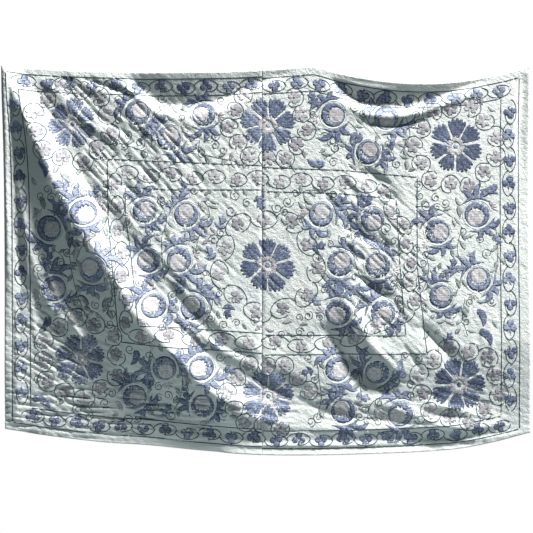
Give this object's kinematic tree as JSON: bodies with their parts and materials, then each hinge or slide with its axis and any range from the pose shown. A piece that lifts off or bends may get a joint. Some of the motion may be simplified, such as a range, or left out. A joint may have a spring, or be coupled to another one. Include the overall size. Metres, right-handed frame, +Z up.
{
  "type": "suzani embroidered wall textile",
  "caption": "Large embroidered wall textile of two sewn panels, hanging by its top edge in diagonal swagged folds.",
  "frame": {"origin": "middle of the top edge, which is on the right panel beside the centre seam", "axes": "+X to the right along the top edge as seen from the embroidered face, +Z up, the embroidered face towards -Y"},
  "size_m": [2.2, 0.1184, 1.624],
  "materials": {
    "ground_cloth": "plain woven cotton, matt",
    "blue_thread": "laid silk-like thread, soft sheen",
    "taupe_thread": "laid silk-like thread, soft sheen",
    "outline_thread": "chain-stitched thread"
  },
  "bodies": {
    "root": {"panel_left": "ground_cloth", "panel_right": "ground_cloth"}
  },
  "joints": []
}
